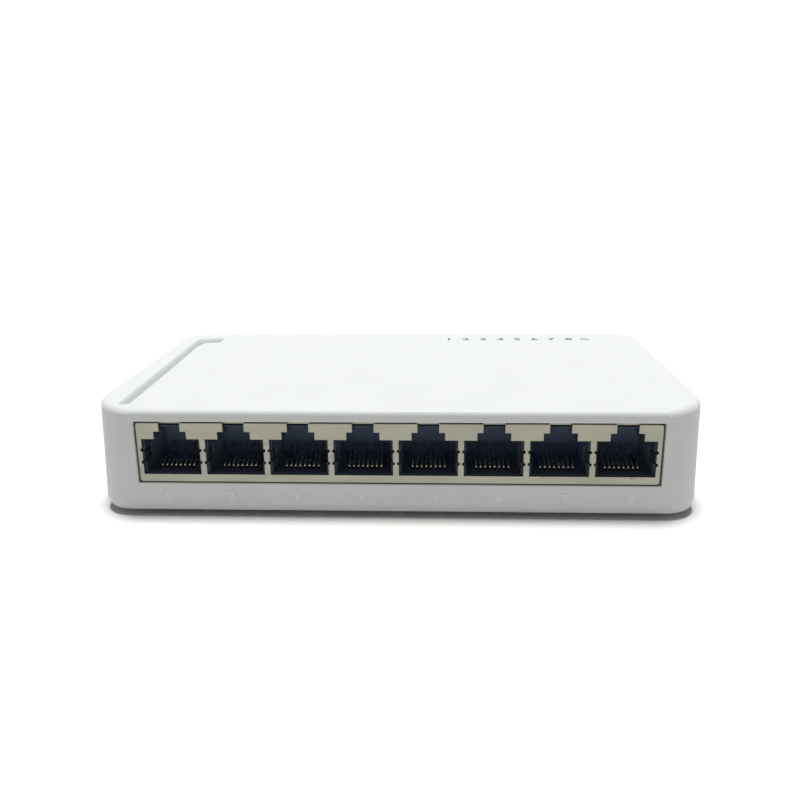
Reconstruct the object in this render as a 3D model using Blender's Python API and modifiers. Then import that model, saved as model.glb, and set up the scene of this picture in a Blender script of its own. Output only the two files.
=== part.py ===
"""Desktop network switch with eight sockets in a row, made as separate pieces.

Metres, +Z up. The socket side faces -Y and the indicator side faces +Y. The origin is on the
table, under the middle of the body.
"""

import math

import bmesh
import bpy
from mathutils import Matrix, Vector

MM = 0.001
GAP = 0.3 * MM  # clearance between pieces that touch on the real object

# Body
BODY_DEPTH = 80.0 * MM
TOP_Z = 24.5 * MM
FOOT_HEIGHT = 1.3 * MM  # the underside of the body, above the table
SEAM_Z = 2.85 * MM  # lower edge of the top shell
WALL = 2.0 * MM
# The outline changes a little from the seam to the top, so these come in pairs
BODY_HALF = (66.3 * MM, 67.5 * MM)
DEPTH_HALF = (BODY_DEPTH / 2, BODY_DEPTH / 2 - 0.3 * MM)
FRONT_FLAT_HALF = (58.8 * MM, 57.7 * MM)  # a faint crease marks the ends of the flat front
FRONT_CORNER_R = (8.0 * MM, 15.0 * MM)
REAR_CORNER_R = 6.0 * MM
TOP_EDGE_R = 1.0 * MM
ARC_STEPS = 7

# Window in the front wall, and the row of sockets behind it
ROW_X = 0.4 * MM  # middle of the row
WINDOW_HALF = 56.7 * MM
WINDOW_Z = (7.85 * MM, 21.85 * MM)
PORTS = 8
PORT_PITCH = 13.97 * MM
PORT_BOTTOM = 9.8 * MM  # lower edge of each opening in the shield

# Circuit board
BOARD_TOP = 7.85 * MM
BOARD_THICKNESS = 1.6 * MM
BOARD_X = 57.4 * MM
BOARD_Y = (-37.0 * MM, 36.8 * MM)
PART_Z = BOARD_TOP + GAP  # underside of everything that is soldered to the board

# Shield and socket housings
SHEET = 0.3 * MM
SHIELD_HALF = WINDOW_HALF - GAP
SHIELD_Y = (-39.6 * MM, -22.0 * MM)
SHIELD_Z = (WINDOW_Z[0] + GAP, WINDOW_Z[1] - GAP)
HOUSING_HALF = 6.6 * MM
HOUSING_Y = (SHIELD_Y[0] + SHEET + GAP, SHIELD_Y[1] - SHEET - GAP)
HOUSING_TOP = SHIELD_Z[1] - SHEET - GAP
SOCKET_END = -25.4 * MM  # back of the cavity that takes a plug
TONGUE_Z = (12.95 * MM, 14.95 * MM)  # grounding tongues, between two round notches
NOTCH_R = 0.4 * MM

# Indicators: eight ports and power
LEDS = 9
LED_X = 12.5 * MM
LED_PITCH = 5.0 * MM
LED_Z = 9.7 * MM
LED_WINDOW = (2.6 * MM, 1.8 * MM)

# Power inlet in the rear wall
INLET_X = -40.0 * MM
INLET_Z = 14.6 * MM
INLET_COLLAR_R = 4.0 * MM
INLET_BORE_R = 3.15 * MM
INLET_PIN_R = 1.0 * MM

# Fasteners and feet
BOSSES = [(sx * 60.5 * MM, y * MM) for sx in (-1, 1) for y in (-22.0, 26.0)]
BOARD_SCREWS = [(sx * 52.0 * MM, 24.0 * MM) for sx in (-1, 1)]
BOARD_PINS = [(sx * 52.0 * MM, -16.0 * MM) for sx in (-1, 1)]
FEET = [(sx * 54.0 * MM, sy * 31.0 * MM) for sx in (-1, 1) for sy in (-1, 1)]
FOOT_R = 4.5 * MM
SHANK_R = 1.0 * MM
PILOT_R = SHANK_R + GAP
HEAD_R = 2.5 * MM

for old in list(bpy.data.objects):
    bpy.data.objects.remove(old, do_unlink=True)

parts = bpy.data.collections.new("desktop_network_switch")
cutters = bpy.data.collections.new("cutters")
bpy.context.scene.collection.children.link(parts)
bpy.context.scene.collection.children.link(cutters)


# ---------------------------------------------------------------- materials


def make_material(name, colour, roughness, metallic=0.0, transmission=0.0):
    mat = bpy.data.materials.new(name)
    mat.use_nodes = True
    shader = mat.node_tree.nodes["Principled BSDF"]
    shader.inputs["Base Color"].default_value = (*colour, 1.0)
    shader.inputs["Roughness"].default_value = roughness
    shader.inputs["Metallic"].default_value = metallic
    shader.inputs["Transmission Weight"].default_value = transmission
    mat.diffuse_color = (*colour, 1.0)
    return mat


WHITE_SHELL = make_material("white_shell_plastic", (0.86, 0.87, 0.87), 0.45)
WHITE_COVER = make_material("white_cover_plastic", (0.80, 0.81, 0.81), 0.5)
NICKEL = make_material("nickel_plate", (0.55, 0.54, 0.48), 0.4, metallic=1.0)
SOCKET_BLACK = make_material("socket_plastic", (0.012, 0.013, 0.02), 0.4)
GOLD = make_material("contact_gold", (0.9, 0.66, 0.28), 0.25, metallic=1.0)
LAMINATE = make_material("board_laminate", (0.03, 0.16, 0.07), 0.45)
CHIP_BLACK = make_material("chip_epoxy", (0.02, 0.02, 0.022), 0.6)
TIN = make_material("tin_plate", (0.7, 0.7, 0.7), 0.35, metallic=1.0)
CAN = make_material("capacitor_can", (0.66, 0.67, 0.69), 0.3, metallic=1.0)
FERRITE = make_material("inductor_ferrite", (0.07, 0.07, 0.075), 0.7)
CLEAR = make_material("light_guide_acrylic", (0.93, 0.96, 0.97), 0.08, transmission=0.9)
LED_BODY = make_material("led_body", (0.85, 0.88, 0.8), 0.3)
STEEL = make_material("screw_steel", (0.5, 0.5, 0.52), 0.3, metallic=1.0)
RUBBER = make_material("foot_rubber", (0.05, 0.05, 0.052), 0.85)


# ---------------------------------------------------------------- shapes


def add_box(bm, low, high):
    low, high = Vector(low), Vector(high)
    place = Matrix.Translation((low + high) / 2) @ Matrix.Diagonal((*(high - low), 1.0))
    bmesh.ops.create_cube(bm, size=1.0, matrix=place)


def add_cylinder(bm, radius, start, end, segments=24):
    start, end = Vector(start), Vector(end)
    turn = (end - start).to_track_quat("Z", "Y").to_matrix().to_4x4()
    bmesh.ops.create_cone(
        bm,
        cap_ends=True,
        segments=segments,
        radius1=radius,
        radius2=radius,
        depth=(end - start).length,
        matrix=Matrix.Translation((start + end) / 2) @ turn,
    )


def add_prism(bm, outline, low, high, along):
    """Extrude a closed 2D outline along X (outline in Y, Z), Y (in X, Z) or Z (in X, Y)."""
    spot = {
        "X": lambda a, b, c: (c, a, b),
        "Y": lambda a, b, c: (a, c, b),
        "Z": lambda a, b, c: (a, b, c),
    }[along]
    face = bm.faces.new([bm.verts.new(spot(a, b, low)) for a, b in outline])
    grown = bmesh.ops.extrude_face_region(bm, geom=[face])["geom"]
    side = [item for item in grown if isinstance(item, bmesh.types.BMVert)]
    bmesh.ops.translate(bm, verts=side, vec=spot(0, 0, high - low))
    bmesh.ops.recalc_face_normals(bm, faces=bm.faces)


def add_loft(bm, lower, upper, low, high):
    """Join two outlines with the same number of points into a closed solid."""
    bottom = [bm.verts.new((x, y, low)) for x, y in lower]
    top = [bm.verts.new((x, y, high)) for x, y in upper]
    bm.faces.new(bottom)
    bm.faces.new(top)
    for i, corner in enumerate(bottom):
        following = (i + 1) % len(bottom)
        bm.faces.new((corner, bottom[following], top[following], top[i]))
    bmesh.ops.recalc_face_normals(bm, faces=bm.faces)


def arc(centre, radius, start, end, steps):
    """Points on an arc, with angles in degrees."""
    angles = [math.radians(start + (end - start) * i / steps) for i in range(steps + 1)]
    return [(centre[0] + radius * math.cos(a), centre[1] + radius * math.sin(a)) for a in angles]


def body_outline(inset, level=0.0, extra_r=0.0):
    """The body seen from above, moved in by an inset: a flat front with a crease at each end.

    The level runs from 0 at the seam to 1 at the top.
    """
    pairs = (BODY_HALF, DEPTH_HALF, FRONT_FLAT_HALF, FRONT_CORNER_R)
    half, depth_half, flat_half, front_r = (a + (b - a) * level for a, b in pairs)
    front_r += extra_r
    centre_x = half - front_r
    rise = math.sqrt(front_r**2 - (flat_half - centre_x) ** 2)
    crease = math.degrees(math.asin((rise - inset) / (front_r - inset)))
    right = arc((centre_x, rise - depth_half), front_r - inset, -crease, 0, ARC_STEPS)
    rear = (half - REAR_CORNER_R, depth_half - REAR_CORNER_R)
    right += arc(rear, REAR_CORNER_R - inset, 0, 90, ARC_STEPS)
    left = [(-x, y) for x, y in reversed(right)]
    return right + left


def ribbon(path, thickness):
    """The outline of a strip of even thickness that follows an open path."""
    points = [Vector(p) for p in path]
    sides = ([], [])
    for i, point in enumerate(points):
        into = (point - points[i - 1]).normalized() if i else None
        out = (points[i + 1] - point).normalized() if i + 1 < len(points) else None
        along = ((into or out) + (out or into)).normalized()
        reach = thickness / 2 / max(0.5, along.dot(out or into))
        normal = Vector((-along.y, along.x)) * reach
        sides[0].append(tuple(point + normal))
        sides[1].append(tuple(point - normal))
    return sides[0] + sides[1][::-1]


def bevel_where(bm, keep, width, segments):
    edges = [e for e in bm.edges if all(keep(v.co) for v in e.verts)]
    bmesh.ops.bevel(bm, geom=edges, offset=width, segments=segments, profile=0.5, affect="EDGES")


# ---------------------------------------------------------------- objects


def add_object(name, bm, mat, smooth=False):
    mesh = bpy.data.meshes.new(name)
    bm.to_mesh(mesh)
    bm.free()
    mesh.materials.append(mat)
    if smooth:
        mesh.shade_smooth()
        mesh.set_sharp_from_angle(angle=math.radians(35))
    ob = bpy.data.objects.new(name, mesh)
    parts.objects.link(ob)
    return ob


def add_tool(ob, operation, fill):
    """Cut or join a shape, which fill(bm) makes, with a Boolean on the object."""
    bm = bmesh.new()
    fill(bm)
    name = f"{ob.name}_{operation.lower()}_{len(ob.modifiers)}"
    mesh = bpy.data.meshes.new(name)
    bm.to_mesh(mesh)
    bm.free()
    tool = bpy.data.objects.new(name, mesh)
    tool.hide_render = True
    tool.display_type = "WIRE"
    cutters.objects.link(tool)
    boolean = ob.modifiers.new(name, "BOOLEAN")
    boolean.operation = operation
    boolean.solver = "EXACT"
    boolean.object = tool


def cut(ob, fill):
    add_tool(ob, "DIFFERENCE", fill)


def join(ob, fill):
    add_tool(ob, "UNION", fill)


def turned(name, profile, mat, place, flipped=False, steps=20):
    """Turn a profile of (radius, height) points, listed from top to bottom, about Z."""
    mesh = bpy.data.meshes.new(name)
    points = [(r, 0.0, z) for r, z in profile]
    mesh.from_pydata(points, [(i, i + 1) for i in range(len(points) - 1)], [])
    mesh.materials.append(mat)
    ob = bpy.data.objects.new(name, mesh)
    ob.location = place
    ob.rotation_euler.x = math.pi if flipped else 0.0
    parts.objects.link(ob)
    screw = ob.modifiers.new("turn", "SCREW")
    screw.steps = steps
    screw.render_steps = steps
    screw.use_merge_vertices = True
    screw.merge_threshold = 0.000001
    screw.use_smooth_shade = True
    return ob


# ---------------------------------------------------------------- enclosure

BOSS_R = 2.8 * MM
PAD_R = 3.6 * MM
PAD_TOP = 4.6 * MM
COVER_FLANGE_TOP = 2.5 * MM
COVER_PLATE_TOP = 3.1 * MM
COVER_LIP_TOP = 4.6 * MM
GROOVE_DEPTH = 1.4 * MM


def groove_outline():
    """The hooked groove on top: a narrow leg along the left side and a short, wide one behind."""
    left, right = -61.9 * MM, -59.0 * MM
    front, behind, rear = -35.6 * MM, 27.8 * MM, 34.4 * MM
    tip = -54.8 * MM
    nose_r = (right - left) / 2
    outer_r = 4.5 * MM
    inner_r = 2.5 * MM
    nose = arc(((left + right) / 2, front + nose_r), nose_r, 180, 360, 6)
    inner = arc((right + inner_r, behind - inner_r), inner_r, 180, 90, 4)
    outer = arc((left + outer_r, rear - outer_r), outer_r, 90, 180, 5)
    return nose + inner + [(tip, behind), (tip, rear)] + outer


def make_top_shell():
    bm = bmesh.new()
    add_loft(bm, body_outline(0), body_outline(0, 1), SEAM_Z, TOP_Z)
    bevel_where(bm, lambda co: co.z > TOP_Z - GAP, TOP_EDGE_R, 3)
    shell = add_object("top_shell", bm, WHITE_SHELL, smooth=True)

    def hollow(tool):
        add_loft(tool, body_outline(WALL), body_outline(WALL, 1), SEAM_Z - WALL, TOP_Z - WALL)

    def bosses(tool):
        for x, y in BOSSES:
            add_cylinder(tool, BOSS_R, (x, y, PAD_TOP + GAP), (x, y, TOP_Z - WALL / 2), 16)

    def pilots(tool):
        for x, y in BOSSES:
            add_cylinder(tool, PILOT_R, (x, y, PAD_TOP), (x, y, 14 * MM), 12)

    def windows(tool):
        low = (ROW_X - WINDOW_HALF, -BODY_DEPTH, WINDOW_Z[0])
        high = (ROW_X + WINDOW_HALF, -BODY_DEPTH / 2 + 2 * WALL, WINDOW_Z[1])
        add_box(tool, low, high)
        width, height = LED_WINDOW
        for i in range(LEDS):
            x = LED_X + i * LED_PITCH
            low = (x - width / 2, BODY_DEPTH / 2 - 2 * WALL, LED_Z - height / 2)
            high = (x + width / 2, BODY_DEPTH, LED_Z + height / 2)
            add_box(tool, low, high)
        inlet = (INLET_X, BODY_DEPTH / 2 - 2 * WALL, INLET_Z)
        add_cylinder(tool, INLET_COLLAR_R + 0.4 * MM, inlet, (INLET_X, BODY_DEPTH, INLET_Z))

    def groove(tool):
        add_prism(tool, groove_outline(), TOP_Z - GROOVE_DEPTH, TOP_Z + WALL, "Z")

    cut(shell, hollow)
    join(shell, bosses)
    cut(shell, pilots)
    cut(shell, windows)
    cut(shell, groove)


def make_bottom_cover():
    flange_inset, lip_inset, lip_width = 0.5 * MM, 2.35 * MM, 1.25 * MM
    corner_extra = 1.5 * MM  # of the lip, to keep clear of the shell's wall
    bm = bmesh.new()
    flange = body_outline(flange_inset)
    add_loft(bm, flange, flange, FOOT_HEIGHT, COVER_FLANGE_TOP)
    bevel_where(bm, lambda co: co.z < FOOT_HEIGHT + 0.1 * MM, 0.35 * MM, 2)
    cover = add_object("bottom_cover", bm, WHITE_COVER, smooth=True)

    def lip(tool):
        ring = body_outline(lip_inset, extra_r=corner_extra)
        add_loft(tool, ring, ring, FOOT_HEIGHT + 0.4 * MM, COVER_LIP_TOP)

    def pocket(tool):
        ring = body_outline(lip_inset + lip_width, extra_r=corner_extra)
        add_loft(tool, ring, ring, COVER_PLATE_TOP, TOP_Z)

    def posts(tool):
        foot = COVER_PLATE_TOP - 0.5 * MM
        post_top = BOARD_TOP - BOARD_THICKNESS - GAP
        for x, y in BOSSES:
            add_cylinder(tool, PAD_R, (x, y, foot), (x, y, PAD_TOP), 16)
        for x, y in BOARD_SCREWS + BOARD_PINS:
            add_cylinder(tool, 3 * MM, (x, y, foot), (x, y, post_top), 16)

    def pins(tool):
        for x, y in BOARD_PINS:
            start = (x, y, COVER_PLATE_TOP)
            add_cylinder(tool, 1.2 * MM, start, (x, y, BOARD_TOP + 0.8 * MM), 12)

    def holes(tool):
        for x, y in BOSSES:
            add_cylinder(tool, HEAD_R + GAP, (x, y, 0), (x, y, COVER_PLATE_TOP - 0.1 * MM), 16)
        for x, y in BOARD_SCREWS:
            start = (x, y, COVER_PLATE_TOP + 0.4 * MM)
            add_cylinder(tool, PILOT_R, start, (x, y, BOARD_TOP), 12)
        for x, y in FEET:
            add_cylinder(tool, FOOT_R + GAP, (x, y, 0), (x, y, FOOT_HEIGHT + 0.7 * MM), 20)

    def screw_ways(tool):
        for x, y in BOSSES:
            add_cylinder(tool, PILOT_R + 0.2 * MM, (x, y, FOOT_HEIGHT), (x, y, TOP_Z), 12)

    def vents(tool):
        half_slot, half_length = 0.9 * MM, 8 * MM
        for sx in (-1, 1):
            for i in range(6):
                x = sx * (10 + 4 * i) * MM
                low = (x - half_slot, -half_length, 0)
                add_box(tool, low, (x + half_slot, half_length, COVER_LIP_TOP))

    join(cover, lip)
    cut(cover, pocket)
    join(cover, posts)
    join(cover, pins)
    cut(cover, holes)
    cut(cover, screw_ways)
    cut(cover, vents)


def make_screw(name, place, length, flipped):
    """A pan-head screw with a cross recess; its head rests at the given place."""
    height = 1.5 * MM
    profile = [
        (0, height),
        (0.55 * HEAD_R, height),
        (0.9 * HEAD_R, 0.7 * height),
        (HEAD_R, 0.35 * height),
        (HEAD_R, 0),
        (SHANK_R, 0),
        (SHANK_R, -length),
        (0.3 * SHANK_R, -length - SHANK_R),
        (0, -length - SHANK_R),
    ]
    screw = turned(name, profile, STEEL, place, flipped, steps=16)

    def recess(tool):
        x, y, z = place
        facing = -1 if flipped else 1
        low_z, high_z = sorted((z + facing * 0.6 * MM, z + facing * 3 * MM))
        outline = [(x + a, y + b) for a, b in cross_outline(1.3 * MM, 0.35 * MM)]
        add_prism(tool, outline, low_z, high_z, "Z")

    cut(screw, recess)


def cross_outline(long_half, short_half):
    quarter = [(long_half, -short_half), (long_half, short_half), (short_half, short_half)]
    points = []
    for turn in range(4):
        c, s = math.cos(turn * math.pi / 2), math.sin(turn * math.pi / 2)
        points += [(c * a - s * b, s * a + c * b) for a, b in quarter]
    return points


def make_fasteners_and_feet():
    for number, (x, y) in enumerate(BOSSES, 1):
        head = COVER_PLATE_TOP - 0.1 * MM - GAP
        make_screw(f"case_screw_{number}", (x, y, head), 7.5 * MM, flipped=True)
    for number, (x, y) in enumerate(BOARD_SCREWS, 1):
        make_screw(f"board_screw_{number}", (x, y, BOARD_TOP + GAP), 2.6 * MM, flipped=False)
    profile = [
        (0, FOOT_HEIGHT + 0.4 * MM),
        (FOOT_R, FOOT_HEIGHT + 0.4 * MM),
        (FOOT_R, 0.4 * MM),
        (FOOT_R - 0.3 * MM, 0),
        (0, 0),
    ]
    for number, (x, y) in enumerate(FEET, 1):
        turned(f"rubber_foot_{number}", profile, RUBBER, (x, y, 0))


# ---------------------------------------------------------------- sockets

OPENING = {"wide": 6.3 * MM, "middle": 3.57 * MM, "latch": 2.32 * MM}
OPENING_TOP = {"wide": PORT_BOTTOM + 8.1 * MM, "middle": PORT_BOTTOM + 9.8 * MM}
SOCKET = {"wide": 5.9 * MM, "middle": 3.5 * MM, "latch": 2.25 * MM}
SOCKET_FLOOR = 10.1 * MM
SOCKET_TOP = {"wide": 17.6 * MM, "middle": 19.3 * MM, "latch": 20.5 * MM}


def port_centre(number):
    return ROW_X + (number - (PORTS + 1) / 2) * PORT_PITCH


def stepped_side(half, top, latch_top):
    """The right side of a stepped opening, above its widest part."""
    return [
        (half["wide"], top["wide"]),
        (half["middle"], top["wide"]),
        (half["middle"], top["middle"]),
        (half["latch"], top["middle"]),
        (half["latch"], latch_top),
    ]


def opening_outline(x):
    """One opening in the shield, with two round notches in each side."""
    side = [(OPENING["wide"], PORT_BOTTOM)]
    for z in (TONGUE_Z[0] - NOTCH_R, TONGUE_Z[1] + NOTCH_R):
        side += arc((OPENING["wide"], z), NOTCH_R, -90, 90, 4)
    side += stepped_side(OPENING, OPENING_TOP, SHIELD_Z[1] + GAP)
    left = [(-a, b) for a, b in reversed(side)]
    return [(x + a, b) for a, b in side + left]


def make_shield():
    bm = bmesh.new()
    low = (ROW_X - SHIELD_HALF, SHIELD_Y[0], SHIELD_Z[0])
    add_box(bm, low, (ROW_X + SHIELD_HALF, SHIELD_Y[1], SHIELD_Z[1]))
    front = SHIELD_Y[0] + GAP
    upright = [
        e
        for e in bm.edges
        if all(v.co.y < front for v in e.verts) and e.verts[0].co.x == e.verts[1].co.x
    ]
    fold = [e for e in bm.edges if all(v.co.y < front and v.co.z > low[2] + GAP for v in e.verts)]
    bmesh.ops.bevel(
        bm, geom=upright + fold, offset=0.5 * MM, segments=2, profile=0.5, affect="EDGES"
    )
    shield = add_object("port_shield", bm, NICKEL)

    def inside(tool):
        half = SHIELD_HALF - SHEET
        low = (ROW_X - half, SHIELD_Y[0] + SHEET, 0)
        add_box(tool, low, (ROW_X + half, SHIELD_Y[1] - SHEET, SHIELD_Z[1] - SHEET))

    def behind_board_edge(tool):
        low = (ROW_X - WINDOW_HALF, BOARD_Y[0] - GAP, 0)
        add_box(tool, low, (ROW_X + WINDOW_HALF, 0, PART_Z + 0.05 * MM))

    def openings(tool):
        for number in range(1, PORTS + 1):
            outline = opening_outline(port_centre(number))
            add_prism(tool, outline, -BODY_DEPTH / 2 - WALL, SHIELD_Y[0] + 3 * SHEET, "Y")

    def tongues(tool):
        root = SHIELD_Y[0] + SHEET / 2
        path = [(6.45, root), (6.25, root), (5.9, root + 2.4 * MM), (6.1, root + 3.8 * MM)]
        path = [(x * MM, y) for x, y in path]
        for number in range(1, PORTS + 1):
            for side in (-1, 1):
                centre = port_centre(number)
                outline = [(centre + side * x, y) for x, y in ribbon(path, 0.2 * MM)]
                add_prism(tool, outline, TONGUE_Z[0], TONGUE_Z[1], "Z")

    cut(shield, inside)
    cut(shield, behind_board_edge)
    cut(shield, openings)
    join(shield, tongues)


def make_socket(number):
    """One moulded housing and its set of eight contacts."""
    x = port_centre(number)
    bm = bmesh.new()
    low = (x - HOUSING_HALF, HOUSING_Y[0], PART_Z)
    add_box(bm, low, (x + HOUSING_HALF, HOUSING_Y[1], HOUSING_TOP))
    housing = add_object(f"port_housing_{number}", bm, SOCKET_BLACK)

    def cavity(tool):
        side = [(SOCKET["wide"], SOCKET_FLOOR)]
        side += stepped_side(SOCKET, SOCKET_TOP, SOCKET_TOP["latch"])
        outline = side + [(-a, b) for a, b in reversed(side)]
        outline = [(x + a, b) for a, b in outline]
        add_prism(tool, outline, HOUSING_Y[0] - WALL, SOCKET_END, "Y")

    def contact_bay(tool):
        half = 4.2 * MM
        add_box(
            tool,
            (x - half, -36.5 * MM, PART_Z + 0.75 * MM),
            (x + half, SOCKET_END - 0.1 * MM, SOCKET_FLOOR + 0.1 * MM),
        )

    def tongue_ways(tool):
        low_z, high_z = TONGUE_Z[0] - GAP, TONGUE_Z[1] + GAP
        for side in (-1, 1):
            near, far = x + side * 5.4 * MM, x + side * 7 * MM
            low = (min(near, far), HOUSING_Y[0] - WALL, low_z)
            add_box(tool, low, (max(near, far), -34.4 * MM, high_z))

    cut(housing, cavity)
    cut(housing, contact_bay)
    cut(housing, tongue_ways)

    bm = bmesh.new()
    carrier_half, carrier_z = 3.9 * MM, (PART_Z + 1.05 * MM, PART_Z + 1.75 * MM)
    low = (x - carrier_half, -30.6 * MM, carrier_z[0])
    add_box(bm, low, (x + carrier_half, -25.8 * MM, carrier_z[1]))
    contacts = add_object(f"port_contacts_{number}", bm, GOLD)

    def springs(tool):
        path = [(-28.0, 9.55), (-35.2, 9.55), (-35.8, 10.1), (-35.4, 10.65), (-27.2, 13.0)]
        path = [(y * MM, z * MM) for y, z in path]
        pitch, half_width = 1.016 * MM, 0.23 * MM
        for i in range(8):
            centre = x + (i - 3.5) * pitch
            outline = ribbon(path, 0.3 * MM)
            add_prism(tool, outline, centre - half_width, centre + half_width, "X")

    join(contacts, springs)


# ---------------------------------------------------------------- board and its parts


def make_board():
    bm = bmesh.new()
    low = (-BOARD_X, BOARD_Y[0], BOARD_TOP - BOARD_THICKNESS)
    add_box(bm, low, (BOARD_X, BOARD_Y[1], BOARD_TOP))
    board = add_object("main_board", bm, LAMINATE)

    def holes(tool):
        for x, y in BOARD_SCREWS + BOARD_PINS:
            add_cylinder(tool, 1.6 * MM, (x, y, 0), (x, y, TOP_Z), 12)

    cut(board, holes)


def make_chip(name, centre, size, leads, mat=CHIP_BLACK):
    """A chip with a row of leads on each of the sides that leads names, as (in X, in Y)."""
    x, y = (c * MM for c in centre)
    half_x, half_y, height = size[0] / 2 * MM, size[1] / 2 * MM, size[2] * MM
    bm = bmesh.new()
    standoff = 0.1 * MM
    low = (x - half_x, y - half_y, PART_Z + standoff)
    add_box(bm, low, (x + half_x, y + half_y, PART_Z + height))
    bevel_where(bm, lambda co: co.z > PART_Z + height / 2, 0.2 * MM, 1)
    chip = add_object(name, bm, mat)
    reach, lead_half, sheet = 1.0 * MM, 0.25 * MM, 0.25 * MM

    def lead_rows(tool):
        along_x, along_y = leads
        for i in range(along_x):
            at = x + ((i + 0.5) / along_x - 0.5) * 2 * (half_x - lead_half)
            for side in (-1, 1):
                ends = sorted((y + side * (half_y - reach / 2), y + side * (half_y + reach)))
                low = (at - lead_half, ends[0], PART_Z)
                add_box(tool, low, (at + lead_half, ends[1], PART_Z + sheet))
        for i in range(along_y):
            at = y + ((i + 0.5) / along_y - 0.5) * 2 * (half_y - lead_half)
            for side in (-1, 1):
                ends = sorted((x + side * (half_x - reach / 2), x + side * (half_x + reach)))
                low = (ends[0], at - lead_half, PART_Z)
                add_box(tool, low, (ends[1], at + lead_half, PART_Z + sheet))

    join(chip, lead_rows)


def make_can(name, centre, radius, height, base_half, mat):
    """A round can on a square base, as on a capacitor or a wound inductor."""
    x, y = (c * MM for c in centre)
    base = 1.2 * MM
    bm = bmesh.new()
    low = (x - base_half, y - base_half, PART_Z)
    add_box(bm, low, (x + base_half, y + base_half, PART_Z + base))
    part = add_object(name, bm, mat, smooth=True)

    def can(tool):
        add_cylinder(tool, radius, (x, y, PART_Z + base / 2), (x, y, PART_Z + height))

    join(part, can)


def make_crystal(centre):
    x, y = (c * MM for c in centre)
    half_length, radius, height = 3.2 * MM, 2.3 * MM, 3.5 * MM
    outline = arc((x + half_length, y), radius, -90, 90, 6)
    outline += arc((x - half_length, y), radius, 90, 270, 6)
    bm = bmesh.new()
    add_prism(bm, outline, PART_Z, PART_Z + height, "Z")
    add_object("clock_crystal", bm, TIN, smooth=True)


def make_indicators():
    names = [f"port_led_{i}" for i in range(1, LEDS)] + ["power_led"]
    led_half, led_y, led_height = 1.2 * MM, (32.0 * MM, 34.0 * MM), 2.6 * MM
    for i, name in enumerate(names):
        x = LED_X + i * LED_PITCH
        bm = bmesh.new()
        low = (x - led_half, led_y[0], PART_Z)
        add_box(bm, low, (x + led_half, led_y[1], PART_Z + led_height))
        bevel_where(bm, lambda co: co.y > led_y[1] - 0.1 * MM, 0.3 * MM, 2)
        add_object(name, bm, LED_BODY)

    bar_y = (led_y[1] + GAP, 36.2 * MM)
    end = 1.6 * MM
    bm = bmesh.new()
    low = (LED_X - end, bar_y[0], PART_Z)
    high = (LED_X + (LEDS - 1) * LED_PITCH + end, bar_y[1], PART_Z + 2.8 * MM)
    add_box(bm, low, high)
    guide = add_object("light_guide", bm, CLEAR)

    def prongs(tool):
        half_x, half_z = LED_WINDOW[0] / 2 - GAP, LED_WINDOW[1] / 2 - GAP
        for i in range(LEDS):
            x = LED_X + i * LED_PITCH
            low = (x - half_x, bar_y[1] - 0.5 * MM, LED_Z - half_z)
            add_box(tool, low, (x + half_x, BODY_DEPTH / 2 - GAP, LED_Z + half_z))

    join(guide, prongs)


def make_inlet():
    """The power inlet: a moulded housing, its centre pin and its spring contact."""
    half, back, shoulder = 4.5 * MM, 24.4 * MM, 37.2 * MM
    mouth, bore_end = 39.5 * MM, 30.0 * MM
    top = 18.9 * MM
    bm = bmesh.new()
    add_box(bm, (INLET_X - half, back, PART_Z), (INLET_X + half, shoulder, top))
    housing = add_object("power_inlet_housing", bm, SOCKET_BLACK, smooth=True)

    def along(y):
        return (INLET_X, y, INLET_Z)

    def collar(tool):
        add_cylinder(tool, INLET_COLLAR_R, along(shoulder - MM), along(mouth))

    def bore(tool):
        add_cylinder(tool, INLET_BORE_R, along(bore_end), along(BODY_DEPTH / 2 + MM))

    def ways(tool):
        add_cylinder(tool, INLET_PIN_R + GAP, along(back - MM), along(bore_end + MM), 12)
        low = (INLET_X - 1.3 * MM, bore_end + 0.2 * MM, 0)
        add_box(tool, low, (INLET_X + 1.3 * MM, bore_end + 1.2 * MM, INLET_Z - 2 * MM))

    join(housing, collar)
    cut(housing, bore)
    cut(housing, ways)

    bm = bmesh.new()
    add_cylinder(bm, INLET_PIN_R, along(23.6 * MM), along(38.2 * MM), 12)
    pin = add_object("power_inlet_pin", bm, TIN, smooth=True)

    def pin_tail(tool):
        tail_half = 0.9 * MM
        low = (INLET_X - tail_half, 23.3 * MM, PART_Z)
        add_box(tool, low, (INLET_X + tail_half, 24.1 * MM, INLET_Z + 1.2 * MM))

    join(pin, pin_tail)

    bm = bmesh.new()
    foot_y = bore_end + 0.7 * MM
    path = [
        (foot_y, PART_Z),
        (foot_y, INLET_Z - 2.55 * MM),
        (foot_y + 3 * MM, INLET_Z - 2.0 * MM),
        (foot_y + 6.5 * MM, INLET_Z - 2.5 * MM),
    ]
    add_prism(bm, ribbon(path, 0.25 * MM), INLET_X - MM, INLET_X + MM, "X")
    add_object("power_inlet_spring", bm, TIN)


def make_board_parts():
    make_chip("switch_chip", (2, 3), (14, 14, 1.5), (8, 8))
    make_chip("settings_memory", (22, 3), (5, 4, 1.5), (4, 0))
    make_chip("voltage_regulator", (-36, 16), (5, 4, 1.5), (4, 0))
    for number, x in enumerate((-39, -13, 13, 39), 1):
        make_chip(f"transformer_module_{number}", (x, -14), (15, 7, 5.5), (6, 0))
    make_can("input_capacitor", (-26, 26), 3.15 * MM, 7.5 * MM, 3.3 * MM, CAN)
    make_can("output_capacitor", (-26, 15), 3.15 * MM, 7.5 * MM, 3.3 * MM, CAN)
    make_can("power_inductor", (-16, 21), 2.9 * MM, 3.0 * MM, 3.2 * MM, FERRITE)
    make_crystal((2, 17))


make_top_shell()
make_bottom_cover()
make_fasteners_and_feet()
make_shield()
for port in range(1, PORTS + 1):
    make_socket(port)
make_board()
make_board_parts()
make_indicators()
make_inlet()
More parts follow.
